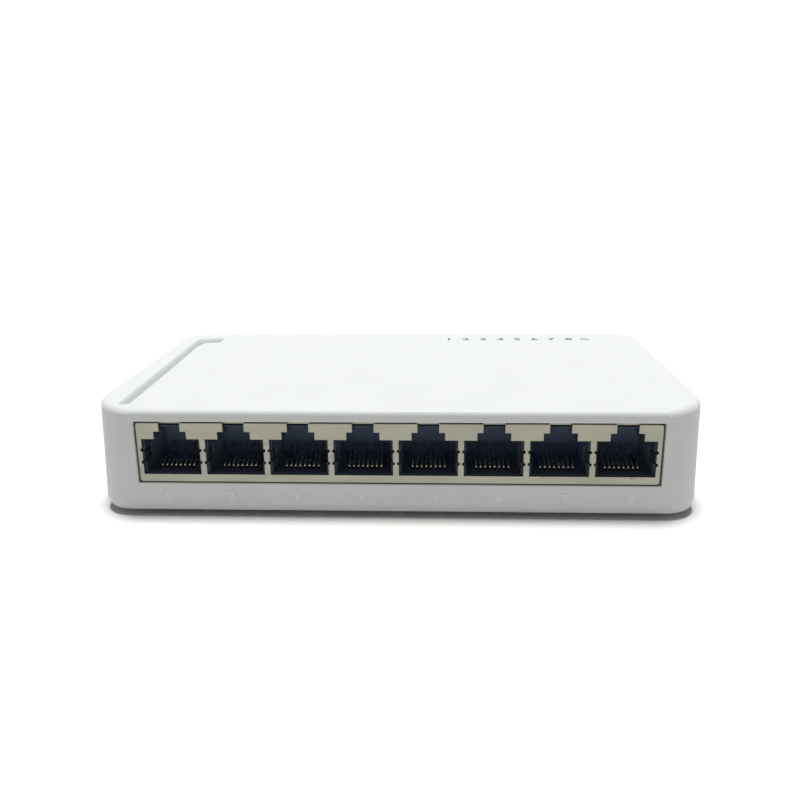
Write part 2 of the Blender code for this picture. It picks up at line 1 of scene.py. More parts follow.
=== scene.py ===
"""Looks of the desktop network switch: fine meshes and procedural materials around its frame.

Metres, +Z up, in the frame's own axes. Sizes and places come from the frame's boxes.
"""

import math

import bmesh
import bpy
from mathutils import Matrix, Vector


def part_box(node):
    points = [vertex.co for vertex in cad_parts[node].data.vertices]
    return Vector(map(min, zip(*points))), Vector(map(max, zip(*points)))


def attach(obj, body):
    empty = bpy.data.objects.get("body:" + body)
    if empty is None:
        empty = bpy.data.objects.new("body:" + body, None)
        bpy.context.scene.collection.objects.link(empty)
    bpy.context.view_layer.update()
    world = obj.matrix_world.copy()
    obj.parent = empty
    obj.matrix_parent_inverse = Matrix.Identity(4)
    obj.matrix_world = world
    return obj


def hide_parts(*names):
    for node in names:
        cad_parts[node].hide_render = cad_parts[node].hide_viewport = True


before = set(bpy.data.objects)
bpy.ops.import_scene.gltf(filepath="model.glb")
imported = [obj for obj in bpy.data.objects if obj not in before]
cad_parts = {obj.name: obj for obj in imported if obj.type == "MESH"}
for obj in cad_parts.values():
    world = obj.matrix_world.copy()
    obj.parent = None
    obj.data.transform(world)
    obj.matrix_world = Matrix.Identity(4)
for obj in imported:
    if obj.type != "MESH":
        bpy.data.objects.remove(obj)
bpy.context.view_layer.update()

MM = 0.001
GAP = 0.3 * MM
PORTS = 8


def middle(node):
    low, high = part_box(node)
    return (low + high) / 2


# Body, from the shell's own box
SHELL_LOW, SHELL_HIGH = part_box("top_shell")
FRONT_Y, REAR_Y = SHELL_LOW.y, SHELL_HIGH.y
SEAM_Z, TOP_Z = SHELL_LOW.z, SHELL_HIGH.z
WALL = 2.0 * MM
# The outline changes a little from the seam to the top, so these come in pairs
BODY_HALF = (SHELL_HIGH.x - 1.15 * MM, SHELL_HIGH.x)
DEPTH_HALF = (REAR_Y, REAR_Y - 0.3 * MM)
FRONT_FLAT_HALF = (58.8 * MM, 57.7 * MM)  # a faint crease marks the ends of the flat front
FRONT_CORNER_R = (8.0 * MM, 15.0 * MM)
REAR_CORNER_R = 6.0 * MM
TOP_EDGE_R = 1.4 * MM
EDGE_BREAK = 0.1 * MM  # tiny rounding along a moulded edge
RIM_R = 0.25 * MM  # rounding of the rims of the shell's openings
SEAM_R = 0.12 * MM  # rounding of the shell's lower edge
CORNER_STEPS = 24
QUARTER = [math.radians(90 * i / 12) for i in range(13)]

# Shield, window and row of sockets
SHIELD_LOW, SHIELD_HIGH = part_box("port_shield")
ROW_X = (SHIELD_LOW.x + SHIELD_HIGH.x) / 2
SHEET = 0.3 * MM
WINDOW_HALF = SHIELD_HIGH.x - ROW_X + GAP
WINDOW_Z = (SHIELD_LOW.z - GAP, SHIELD_HIGH.z + GAP)
SOCKET_X = [middle(f"port_housing_{n}").x for n in range(1, PORTS + 1)]
HOUSING_LOW, HOUSING_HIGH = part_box("port_housing_1")
HOUSING_HALF = (HOUSING_HIGH.x - HOUSING_LOW.x) / 2
PORT_BOTTOM = 9.8 * MM
TONGUE_Z = (12.95 * MM, 14.95 * MM)  # grounding tongues, between two round notches
NOTCH_R = 0.4 * MM
OPENING_CORNER_R = 0.3 * MM  # of the front window and the light windows

# Rear wall: indicator windows and power inlet
LED_NAMES = [f"port_led_{n}" for n in range(1, PORTS + 1)] + ["power_led"]
LED_X = [middle(name).x for name in LED_NAMES]
LED_Z = 9.7 * MM
LIGHT_HALF = (1.3 * MM, 0.9 * MM)  # half the width and half the height of a light window
INLET_X, INLET_Z = middle("power_inlet_pin").x, 14.6 * MM
INLET_COLLAR_R = 4.0 * MM
INLET_BORE_R = 3.15 * MM

# Fasteners and feet; the shell's bosses stand on the cover's pads
BOSSES = [middle(f"case_screw_{n}") for n in range(1, 5)]
BOARD_SCREWS = [middle(f"board_screw_{n}") for n in (1, 2)]
BOARD_PINS = [(sx * 52.0 * MM, -16.0 * MM) for sx in (-1, 1)]
FEET = [middle(f"rubber_foot_{n}") for n in range(1, 5)]
FOOT_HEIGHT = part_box("bottom_cover")[0].z
BOARD_LOW, BOARD_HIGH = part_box("main_board")
BOSS_R, BOSS_FOOT = 2.8 * MM, 4.9 * MM
PILOT_R, PILOT_Z = 1.3 * MM, (4.0 * MM, 14 * MM)
PAD_R, PAD_TOP = 3.6 * MM, 4.6 * MM
POST_R = 3 * MM  # of the posts that carry the board
PIN_R = 1.2 * MM  # of the pins that place the board
HEAD_R, HEAD_TOP = 2.8 * MM, 3.0 * MM  # recess for a case screw's head
SCREW_HOLE_R = 1.5 * MM
FOOT_R = 4.5 * MM
FOOT_GAP = 0.3 * MM  # between a foot and its recess


# ---------------------------------------------------------------- camera, light, floor


def make_camera():
    """A little right of the middle, a forearm away, looking down."""
    turn, down, roll = (math.radians(a) for a in (2.889, 16.435, -0.67))
    data = bpy.data.cameras.new("camera")
    data.lens = 36.28
    data.sensor_width = 36.0
    data.clip_start = 0.01
    camera = bpy.data.objects.new("camera", data)
    camera.matrix_world = (
        Matrix.Translation((9.64 * MM, -201.9 * MM, 74.8 * MM))
        @ Matrix.Rotation(turn, 4, "Z")
        @ Matrix.Rotation(math.pi / 2 - down, 4, "X")
        @ Matrix.Rotation(roll, 4, "Z")
    )
    bpy.context.scene.collection.objects.link(camera)
    bpy.context.scene.camera = camera


def make_light():
    """One broad overhead light, and a white room that the glossy surfaces mirror."""
    data = bpy.data.lights.new("overhead", "SUN")
    data.energy = 3.62
    data.angle = math.radians(17)
    lamp = bpy.data.objects.new("overhead", data)
    lamp.rotation_euler = (math.radians(-5.8), 0, 0)
    bpy.context.scene.collection.objects.link(lamp)

    world = bpy.data.worlds.new("studio")
    world.use_nodes = True
    tree = world.node_tree
    background = tree.nodes["Background"]
    background.inputs["Color"].default_value = (1.0, 1.0, 1.0, 1.0)
    path = tree.nodes.new("ShaderNodeLightPath")
    level = tree.nodes.new("ShaderNodeMapRange")
    level.inputs["To Min"].default_value = 1.05
    level.inputs["To Max"].default_value = 0.15
    tree.links.new(path.outputs["Is Diffuse Ray"], level.inputs["Value"])
    tree.links.new(level.outputs["Result"], background.inputs["Strength"])
    bpy.context.scene.world = world
    bpy.context.scene.view_settings.view_transform = "Standard"


def make_floor():
    """A white sheet that catches the soft shadow under the body."""
    bm = bmesh.new()
    bmesh.ops.create_grid(bm, x_segments=1, y_segments=1, size=6.0)
    mesh = bpy.data.meshes.new("floor")
    bm.to_mesh(mesh)
    bm.free()
    floor = bpy.data.objects.new("floor", mesh)
    bpy.context.scene.collection.objects.link(floor)
    light, dark = (0.81, 0.805, 0.79), (0.80, 0.795, 0.78)
    mesh.materials.append(surface("white_sweep", light, dark, (0.75, 0.85), patch=300 * MM))


# ---------------------------------------------------------------- materials


def new_node(tree, kind, **inputs):
    """A node with some of its inputs set; an underscore stands for a space in their names."""
    made = tree.nodes.new(kind)
    for name, value in inputs.items():
        made.inputs[name.replace("_", " ")].default_value = value
    return made


def noise(tree, place, feature, detail, stretch=(1.0, 1.0, 1.0)):
    """Noise whose features are about that many metres across, times the stretch."""
    mapping = new_node(tree, "ShaderNodeMapping", Scale=tuple(1 / s for s in stretch))
    tree.links.new(place, mapping.inputs["Vector"])
    made = new_node(tree, "ShaderNodeTexNoise", Scale=1 / feature, Detail=detail)
    tree.links.new(mapping.outputs["Vector"], made.inputs["Vector"])
    return made.outputs["Fac"]


def spread(tree, value, low, high, to_low, to_high):
    """Map a value's range to another range."""
    made = new_node(
        tree, "ShaderNodeMapRange", From_Min=low, From_Max=high, To_Min=to_low, To_Max=to_high
    )
    tree.links.new(value, made.inputs["Value"])
    return made.outputs["Result"]


def blend_colour(tree, amount, first, second):
    """Mix two colours, each a colour or another node's output."""
    made = tree.nodes.new("ShaderNodeMix")
    made.data_type = "RGBA"
    tree.links.new(amount, made.inputs["Factor"])
    for socket, colour in (("A", first), ("B", second)):
        target = next(i for i in made.inputs if i.name == socket and i.type == "RGBA")
        if isinstance(colour, tuple):
            target.default_value = (*colour, 1.0)
        else:
            tree.links.new(colour, target)
    return next(o for o in made.outputs if o.type == "RGBA")


def surface(
    name,
    colour,
    other,
    roughness,
    metallic=0.0,
    patch=8 * MM,
    grain=0.25 * MM,
    relief=0.004 * MM,
    stretch=(1.0, 1.0, 1.0),
    stains=None,
    painted_shading=None,
    sockets=None,
):
    """Two close colours in soft patches, an uneven roughness and a fine grain.

    Stains are (colour, feature size, share of the surface). Painted shading is (from, to, colour)
    along Y: painted light deep in the sockets, which makes up for how little light gets there,
    and painted shade on the contact wires behind their front bends.
    """
    mat = bpy.data.materials.new(name)
    mat.use_nodes = True
    tree = mat.node_tree
    shader = tree.nodes["Principled BSDF"]
    shader.inputs["Metallic"].default_value = metallic
    for socket, value in (sockets or {}).items():
        shader.inputs[socket].default_value = value
    place = tree.nodes.new("ShaderNodeTexCoord").outputs["Object"]
    patches = noise(tree, place, patch, 4.0, stretch)
    tint = blend_colour(tree, spread(tree, patches, 0.35, 0.65, 0.0, 1.0), colour, other)
    uneven = noise(tree, place, patch / 3, 5.0, stretch)
    rough = spread(tree, uneven, 0.3, 0.7, *roughness)
    for stain, feature, share in stains or ():
        spots = noise(tree, place, feature, 2.0)
        edge = 0.5 + (0.5 - share) * 0.45  # noise stays near its middle, so a small share is high
        tint = blend_colour(tree, spread(tree, spots, edge, edge + 0.05, 0.0, 1.0), tint, stain)
    # painted light and painted shade: the colour blends towards another along Y
    if painted_shading:
        start, end, shading_colour = painted_shading
        apart = tree.nodes.new("ShaderNodeSeparateXYZ")
        tree.links.new(place, apart.inputs["Vector"])
        depth = spread(tree, apart.outputs["Y"], start, end, 0.0, 1.0)
        tint = blend_colour(tree, depth, tint, shading_colour)
    tree.links.new(tint, shader.inputs["Base Color"])
    tree.links.new(rough, shader.inputs["Roughness"])
    bump = new_node(tree, "ShaderNodeBump", Strength=1.0, Distance=relief)
    tree.links.new(noise(tree, place, grain, 3.0, stretch), bump.inputs["Height"])
    tree.links.new(bump.outputs["Normal"], shader.inputs["Normal"])
    mat.diffuse_color = (*colour, 1.0)
    return mat


SHELL_WHITE = surface(
    "shell_white",
    (0.668, 0.690, 0.684),
    (0.655, 0.677, 0.671),
    (0.44, 0.54),
    patch=14 * MM,
    relief=0.003 * MM,
    sockets={"Specular IOR Level": 0.35},
)
# painted highlight: paler than the shell, for the light that the raised digits' edges catch
NUMBER_HIGHLIGHT_WHITE = surface(
    "number_painted_highlight",
    (0.84, 0.86, 0.85),
    (0.80, 0.82, 0.81),
    (0.3, 0.4),
    patch=2 * MM,
    relief=0.002 * MM,
)
COVER_WHITE = surface(
    "cover_white",
    (0.655, 0.665, 0.65),
    (0.64, 0.65, 0.635),
    (0.45, 0.55),
    patch=10 * MM,
    relief=0.006 * MM,
)
NICKEL = surface(
    "tarnished_nickel",
    (0.345, 0.342, 0.282),
    (0.31, 0.307, 0.25),
    (0.34, 0.5),
    metallic=1.0,
    patch=3 * MM,
    grain=0.12 * MM,
    relief=0.003 * MM,
    stretch=(4.0, 1.0, 1.0),
    stains=[((0.16, 0.15, 0.11), 0.9 * MM, 0.06), ((0.22, 0.21, 0.15), 5 * MM, 0.12)],
)
TONGUE_METAL = surface(
    "tongue_metal",
    (0.08, 0.08, 0.085),
    (0.06, 0.06, 0.065),
    (0.5, 0.65),
    metallic=1.0,
    patch=2 * MM,
    grain=0.1 * MM,
    relief=0.001 * MM,
)
SOCKET_BLACK = surface(
    "socket_black",
    (0.034, 0.044, 0.066),
    (0.028, 0.036, 0.055),
    (0.62, 0.75),
    patch=3 * MM,
    grain=0.1 * MM,
    relief=0.003 * MM,
    # painted light: lighter and bluer towards the back of the sockets, where little light gets
    painted_shading=(-37 * MM, -27 * MM, (0.18, 0.24, 0.34)),
    sockets={"Specular IOR Level": 0.25},
)
GOLD = surface(
    "contact_gold",
    (0.60, 0.54, 0.42),
    (0.53, 0.47, 0.35),
    (0.32, 0.44),
    metallic=1.0,
    patch=1.5 * MM,
    grain=0.08 * MM,
    relief=0.001 * MM,
    # painted shade: the wires go dark blue-grey behind their front bends, where they lie in shade
    painted_shading=(-35 * MM, -33 * MM, (0.25, 0.28, 0.34)),
)
LAMINATE = surface(
    "board_green",
    (0.02, 0.13, 0.06),
    (0.03, 0.19, 0.08),
    (0.3, 0.4),
    patch=1.2 * MM,
    grain=0.4 * MM,
    relief=0.01 * MM,
    stretch=(3.0, 1.0, 1.0),
    stains=[((0.05, 0.28, 0.12), 2.5 * MM, 0.3)],
)
CHIP_BLACK = surface(
    "chip_black", (0.02, 0.02, 0.022), (0.028, 0.028, 0.03), (0.5, 0.65), patch=2 * MM
)
TIN = surface(
    "tinned_metal",
    (0.68, 0.68, 0.67),
    (0.6, 0.6, 0.59),
    (0.25, 0.42),
    metallic=1.0,
    patch=1.5 * MM,
    grain=0.15 * MM,
)
CAN = surface(
    "can_aluminium",
    (0.66, 0.67, 0.69),
    (0.58, 0.59, 0.61),
    (0.25, 0.35),
    metallic=1.0,
    patch=2 * MM,
    stretch=(1.0, 1.0, 5.0),
)
FERRITE = surface(
    "ferrite_grey", (0.07, 0.07, 0.075), (0.05, 0.05, 0.055), (0.6, 0.8), relief=0.02 * MM
)
CLEAR = surface(
    "clear_acrylic",
    (0.90, 0.94, 0.95),
    (0.86, 0.91, 0.92),
    (0.08, 0.18),
    patch=2 * MM,
    relief=0.001 * MM,
    sockets={"Transmission Weight": 0.7, "IOR": 1.49},
)
LED_BODY = surface(
    "led_cream",
    (0.78, 0.8, 0.66),
    (0.7, 0.73, 0.58),
    (0.25, 0.35),
    patch=1 * MM,
    sockets={"Subsurface Weight": 0.2},
)
STEEL = surface(
    "screw_steel",
    (0.5, 0.5, 0.52),
    (0.4, 0.4, 0.41),
    (0.25, 0.45),
    metallic=1.0,
    patch=1 * MM,
    grain=0.1 * MM,
    stains=[((0.25, 0.23, 0.2), 0.8 * MM, 0.1)],
)
RUBBER = surface(
    "foot_rubber",
    (0.045, 0.045, 0.047),
    (0.065, 0.065, 0.066),
    (0.75, 0.9),
    patch=2 * MM,
    grain=0.2 * MM,
    relief=0.02 * MM,
)
INLET_BLACK = surface(
    "inlet_black",
    (0.020, 0.021, 0.024),
    (0.028, 0.029, 0.032),
    (0.35, 0.5),
    patch=2 * MM,
    grain=0.1 * MM,
    relief=0.003 * MM,
)
INK = surface(
    "printed_grey",
    (0.09, 0.10, 0.11),
    (0.14, 0.15, 0.16),
    (0.5, 0.6),
    patch=0.4 * MM,
    relief=0.001 * MM,
)


# ---------------------------------------------------------------- shapes


def arc(centre, radius, start, end, steps):
    """Points on an arc, with angles in degrees."""
    angles = [math.radians(start + (end - start) * i / steps) for i in range(steps + 1)]
    return [(centre[0] + radius * math.cos(a), centre[1] + radius * math.sin(a)) for a in angles]


def rounded_box(low, high, radius, steps=6):
    """A rounded rectangle's outline, from its corners (a, b)."""
    (a0, b0), (a1, b1) = low, high
    corners = [(a1, b1, 0), (a0, b1, 90), (a0, b0, 180), (a1, b0, 270)]
    points = []
    for a, b, turn in corners:
        centre = (
            a - math.copysign(radius, a - a0 - radius),
            b - math.copysign(radius, b - b0 - radius),
        )
        points += arc(centre, radius, turn, turn + 90, steps)
    return points


def body_outline(inset, level=0.0, extra_r=0.0):
    """The body seen from above, moved in by an inset: a flat front with a crease at each end.

    The level runs from 0 at the seam to 1 at the top; extra_r makes the front corners rounder.
    """
    pairs = (BODY_HALF, DEPTH_HALF, FRONT_FLAT_HALF, FRONT_CORNER_R)
    half, depth_half, flat_half, front_r = (a + (b - a) * level for a, b in pairs)
    front_r += extra_r
    centre_x = half - front_r
    rise = math.sqrt(front_r**2 - (flat_half - centre_x) ** 2)
    crease = math.degrees(math.asin((rise - inset) / (front_r - inset)))
    right = arc((centre_x, rise - depth_half), front_r - inset, -crease, 0, CORNER_STEPS)
    rear = (half - REAR_CORNER_R, depth_half - REAR_CORNER_R)
    right += arc(rear, REAR_CORNER_R - inset, 0, 90, CORNER_STEPS)
    return right + [(-x, y) for x, y in reversed(right)]


def spot(along, a, b, c):
    """A point from outline coordinates a, b and the place c along the named axis."""
    return {"Y": (a, c, b), "Z": (a, b, c)}[along]


def add_rings(bm, rings):
    """Skin a run of closed rings that have the same number of points, and cap its ends."""
    loops = [[bm.verts.new(p) for p in ring] for ring in rings]
    for lower, upper in zip(loops, loops[1:]):
        for i, corner in enumerate(lower):
            following = (i + 1) % len(lower)
            bm.faces.new((corner, lower[following], upper[following], upper[i]))
    bm.faces.new(loops[0])
    bm.faces.new(loops[-1])
    bmesh.ops.recalc_face_normals(bm, faces=bm.faces)


def add_prism(bm, outline, low, high, along):
    add_rings(bm, [[spot(along, a, b, c) for a, b in outline] for c in (low, high)])


def add_box(bm, low, high):
    low, high = Vector(low), Vector(high)
    place = Matrix.Translation((low + high) / 2) @ Matrix.Diagonal((*(high - low), 1.0))
    bmesh.ops.create_cube(bm, size=1.0, matrix=place)


def add_cylinder(bm, radius, start, end, segments=48):
    start, end = Vector(start), Vector(end)
    turn = (end - start).to_track_quat("Z", "Y").to_matrix().to_4x4()
    bmesh.ops.create_cone(
        bm,
        cap_ends=True,
        segments=segments,
        radius1=radius,
        radius2=radius,
        depth=(end - start).length,
        matrix=Matrix.Translation((start + end) / 2) @ turn,
    )


def smooth_path(points, bend, steps):
    """An open path whose inner corners are rounded with short curves of about that reach."""
    points = [Vector(p) for p in points]
    path = [points[0]]
    for before, corner, after in zip(points, points[1:], points[2:]):
        reach = min(bend, (corner - before).length / 2, (after - corner).length / 2)
        start = corner + (before - corner).normalized() * reach
        end = corner + (after - corner).normalized() * reach
        for i in range(steps + 1):
            t = i / steps
            path.append(start * (1 - t) ** 2 + corner * 2 * t * (1 - t) + end * t**2)
    return path + [points[-1]]


def add_strip(bm, path, across, width, thickness):
    """A flat strip with rounded edges along a 3D path; across is the direction of its width."""
    across = Vector(across)
    corner_r, corner_steps = thickness * 0.35, 2
    half_width, half_thick = width / 2, thickness / 2
    low, high = (-half_width, -half_thick), (half_width, half_thick)
    section = rounded_box(low, high, corner_r, corner_steps)
    rings = []
    for i, point in enumerate(path):
        into = point - path[i - 1] if i else path[1] - point
        out = path[i + 1] - point if i + 1 < len(path) else into
        along = (into.normalized() + out.normalized()).normalized()
        normal = across.cross(along)
        rings.append([point + across * a + normal * b for a, b in section])
    add_rings(bm, rings)


# ---------------------------------------------------------------- pieces


def add_piece(name, bm, mat, place=(0, 0, 0), replaces=(), edge=EDGE_BREAK, limit=30):
    """A new piece of the looks, smooth shaded.

    Edges sharper than the limit are broken by the edge width, or stay crisp if that is 0.
    """
    mesh = bpy.data.meshes.new(name)
    bm.to_mesh(mesh)
    bm.free()
    mesh.materials.append(mat)
    piece = bpy.data.objects.new(name, mesh)
    piece.location = place
    bpy.context.scene.collection.objects.link(piece)
    mesh.shade_smooth()
    if not edge:
        mesh.set_sharp_from_angle(angle=math.radians(limit))
    soften(piece, edge, limit)
    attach(piece, "root")
    if replaces:
        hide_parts(*replaces)


def soften(ob, edge, limit=30):
    """Break the sharp edges and keep the flat faces flat."""
    if edge:
        bevel = ob.modifiers.new("edge_break", "BEVEL")
        bevel.width = edge
        bevel.segments = 2
        bevel.limit_method = "ANGLE"
        bevel.angle_limit = math.radians(limit)
        bevel.use_clamp_overlap = False
    normals = ob.modifiers.new("flat_faces", "WEIGHTED_NORMAL")
    normals.keep_sharp = True


def boolean_mesh(name, bm, steps):
    """Apply a list of (operation, fill) to a shape and give the result in a new bmesh.

    Each fill puts its tool's solids in the bmesh that it is given. They must not overlap: where
    two do, the solver loses one of them.
    """
    made = []

    def as_object(label, shape):
        mesh = bpy.data.meshes.new(label)
        shape.to_mesh(mesh)
        shape.free()
        ob = bpy.data.objects.new(label, mesh)
        bpy.context.scene.collection.objects.link(ob)
        made.append(ob)
        return ob

    base = as_object(name, bm)
    for operation, fill in steps:
        shape = bmesh.new()
        fill(shape)
        modifier = base.modifiers.new(operation, "BOOLEAN")
        modifier.operation = operation
        modifier.solver = "EXACT"
        modifier.object = as_object(f"{name}_tool", shape)
    bpy.context.view_layer.update()
    result = bpy.data.meshes.new_from_object(
        base.evaluated_get(bpy.context.evaluated_depsgraph_get())
    )
    for ob in made:
        mesh = ob.data
        bpy.data.objects.remove(ob)
        bpy.data.meshes.remove(mesh)
    out = bmesh.new()
    out.from_mesh(result)
    bpy.data.meshes.remove(result)
    bmesh.ops.remove_doubles(out, verts=out.verts, dist=0.001 * MM)
    return out


# ---------------------------------------------------------------- top shell

# The groove's long leg leans out a little towards the rear
GROOVE_OUTER_X = (-61.2 * MM, -62.6 * MM)  # outer edge, at its front end and at its rear
GROOVE_INNER_X = (-58.7 * MM, -59.6 * MM)
GROOVE_FRONT, GROOVE_NEAR, GROOVE_FAR = -35.6 * MM, 27.8 * MM, 34.6 * MM
GROOVE_TIP = -54.8 * MM
GROOVE_WALL = 0.9 * MM  # left under the groove's deepest line


def groove_stations():
    """Pairs of points on the groove's inner and outer edge, from its front end to its tip."""
    inner_r, outer_r = 2.5 * MM, 4.5 * MM
    nose_r = (GROOVE_INNER_X[0] - GROOVE_OUTER_X[0]) / 2
    centre = (GROOVE_INNER_X[0] + GROOVE_OUTER_X[0]) / 2
    pairs = []
    for i in range(1, 7):
        angle = math.radians(90 * i / 6)
        reach = nose_r * math.sin(angle)
        y = GROOVE_FRONT + nose_r * (1 - math.cos(angle))
        pairs.append(((centre + reach, y), (centre - reach, y)))
    inner = arc((GROOVE_INNER_X[1] + inner_r, GROOVE_NEAR - inner_r), inner_r, 180, 90, 12)
    outer = arc((GROOVE_OUTER_X[1] + outer_r, GROOVE_FAR - outer_r), outer_r, 180, 90, 12)
    pairs += list(zip(inner, outer))
    pairs.append(((GROOVE_TIP, GROOVE_NEAR), (GROOVE_TIP, GROOVE_FAR)))
    return pairs


# Across the groove, as (distance, depth) in millimetres: the shoulder that falls from the
# outer edge, and the rounded inner edge, which is measured outwards from the inner side
GROOVE_WIDTH = GROOVE_INNER_X[0] - GROOVE_OUTER_X[0]
GROOVE_SHOULDER = [
    (-0.15, 0.0),
    (0.0, 0.03),
    (0.1, 0.07),
    (0.2, 0.13),
    (0.32, 0.22),
    (0.45, 0.34),
    (0.57, 0.47),
    (0.7, 0.64),
    (0.9, 0.95),
    (1.1, 1.32),
    (1.22, 1.6),
]
GROOVE_LIP_R = 0.45
GROOVE_LIP = [(0.3, 1.6), (0.05, 1.5)]
LIP_ARC = arc((0, 0), GROOVE_LIP_R, 0, 90, 9)
GROOVE_LIP += [(a - GROOVE_LIP_R, GROOVE_LIP_R - b) for a, b in LIP_ARC]
GROOVE_DEPTH = 1.6 * MM


def groove_tool(bm):
    """The groove's cutter; where the groove narrows, at its front end, it gets shallow too."""
    shoulder = [(GROOVE_SHOULDER[0][0], -1.0)] + GROOVE_SHOULDER
    lip = GROOVE_LIP + [(GROOVE_LIP[-1][0], -1.0)]
    rings = []
    for inner, outer in groove_stations():
        inner, outer = Vector(inner), Vector(outer)
        share = min(1.0, (inner - outer).length / GROOVE_WIDTH)
        along = (inner - outer).normalized() * share * MM
        flats = [(outer + along * a, b) for a, b in shoulder]
        flats += [(inner - along * a, b) for a, b in lip]
        rings.append([(flat.x, flat.y, TOP_Z - b * share * MM) for flat, b in flats])
    add_rings(bm, rings)


def groove_back(bm):
    """The thicker stretch of the top wall, inside, that the groove is sunk into."""
    margin = 1.2 * MM
    left, front = GROOVE_OUTER_X[1] - margin, GROOVE_FRONT - margin / 2
    inner, near = GROOVE_INNER_X[0] + margin, GROOVE_NEAR - margin
    tip, far = GROOVE_TIP + margin, GROOVE_FAR + margin
    cut = 2.7 * MM  # keeps it inside the rounded front corner
    outline = [(left, front + cut), (left + cut, front), (inner, front), (inner, near)]
    outline += [(tip, near), (tip, far), (left, far)]
    add_prism(bm, outline, TOP_Z - GROOVE_DEPTH - GROOVE_WALL, TOP_Z - WALL / 2, "Z")


def shell_level(z):
    return (z - SEAM_Z) / (TOP_Z - SEAM_Z)


def end_lean(z):
    """How far the front and the rear face have come in at a height."""
    return (DEPTH_HALF[0] - DEPTH_HALF[1]) * shell_level(z)


def add_mouth(bm, outline, face, end, lean):
    """A cutter along Y for an opening whose rim is rounded; outline(grow) gives its section.

    The front and rear faces lean in towards the top, so lean times end_lean is added to each
    point's Y.
    """
    inward = math.copysign(1, end - face)
    stations = [(face - inward * MM, RIM_R), (face, RIM_R)]
    for i in range(1, 10):
        angle = math.radians(10 * i)
        depth, grow = RIM_R * (1 - math.cos(angle)), RIM_R * (1 - math.sin(angle))
        stations.append((face + inward * depth, grow))
    stations.append((end, 0.0))
    rings = [[(a, y + lean * end_lean(b), b) for a, b in outline(grow)] for y, grow in stations]
    add_rings(bm, rings)


def make_top_shell():
    def ring(inset, z):
        return [(x, y, z) for x, y in body_outline(inset, shell_level(z))]

    rings = []
    for angle in QUARTER:
        z = SEAM_Z + SEAM_R * (1 - math.cos(angle))
        rings.append(ring(SEAM_R * (1 - math.sin(angle)), z))
    for angle in QUARTER:
        z = TOP_Z - TOP_EDGE_R * (1 - math.sin(angle))
        rings.append(ring(TOP_EDGE_R * (1 - math.cos(angle)), z))
    bm = bmesh.new()
    add_rings(bm, rings)

    def hollow(tool):
        rings, height = [], TOP_Z - SEAM_Z
        for level in (0, 0.5, 1):
            z = SEAM_Z - WALL + height * level
            rings.append([(x, y, z) for x, y in body_outline(WALL, level)])
        add_rings(tool, rings)

    def bosses(tool):
        for x, y, _ in BOSSES:
            add_cylinder(tool, BOSS_R, (x, y, BOSS_FOOT), (x, y, TOP_Z - MM), 24)

    def pilots(tool):
        for x, y, _ in BOSSES:
            add_cylinder(tool, PILOT_R, (x, y, PILOT_Z[0]), (x, y, PILOT_Z[1]), 24)

    def front_window(tool):
        def outline(grow):
            low = (ROW_X - WINDOW_HALF - grow, WINDOW_Z[0] - grow)
            high = (ROW_X + WINDOW_HALF + grow, WINDOW_Z[1] + grow)
            return rounded_box(low, high, OPENING_CORNER_R + grow)

        add_mouth(tool, outline, FRONT_Y, FRONT_Y + 2 * WALL, 1)

    def light_windows(tool):
        half_x, half_z = LIGHT_HALF
        for x in LED_X:

            def outline(grow, x=x):
                low = (x - half_x - grow, LED_Z - half_z - grow)
                high = (x + half_x + grow, LED_Z + half_z + grow)
                return rounded_box(low, high, OPENING_CORNER_R + grow)

            add_mouth(tool, outline, REAR_Y, REAR_Y - 2 * WALL, -1)

    def inlet_hole(tool):
        def outline(grow):
            return arc((INLET_X, INLET_Z), INLET_COLLAR_R + 0.4 * MM + grow, 0, 360, 64)[:-1]

        add_mouth(tool, outline, REAR_Y, REAR_Y - 2 * WALL, -1)

    steps = [("DIFFERENCE", hollow), ("UNION", groove_back), ("UNION", bosses)]
    cutters = (pilots, front_window, light_windows, inlet_hole, groove_tool)
    steps += [("DIFFERENCE", cutter) for cutter in cutters]
    bm = boolean_mesh("shell_work", bm, steps)
    add_piece(
        "top_shell_moulding",
        bm,
        SHELL_WHITE,
        replaces=["top_shell"],
        edge=0,
        limit=12.3,
    )


# ---------------------------------------------------------------- characters


def add_character(bm, character, height, place, turn, thickness, bold):
    """A plain raised character, centred on a place and facing the way that turn gives."""
    curve = bpy.data.curves.new("character", "FONT")
    curve.body = character
    curve.resolution_u = 4
    curve.extrude = 0.5
    curve.offset = bold
    ob = bpy.data.objects.new("character", curve)
    bpy.context.scene.collection.objects.link(ob)
    bpy.context.view_layer.update()
    mesh = bpy.data.meshes.new_from_object(
        ob.evaluated_get(bpy.context.evaluated_depsgraph_get())
    )
    bpy.data.objects.remove(ob)
    bpy.data.curves.remove(curve)
    corners = [v.co for v in mesh.vertices]
    low = Vector([min(c[i] for c in corners) for i in range(3)])
    high = Vector([max(c[i] for c in corners) for i in range(3)])
    scale = height / (high.y - low.y)
    fit = Matrix.Diagonal((scale, scale, thickness / (high.z - low.z), 1.0))
    mesh.transform(
        Matrix.Translation(place) @ turn @ fit @ Matrix.Translation(-(low + high) / 2)
    )
    bm.from_mesh(mesh)
    bpy.data.meshes.remove(mesh)


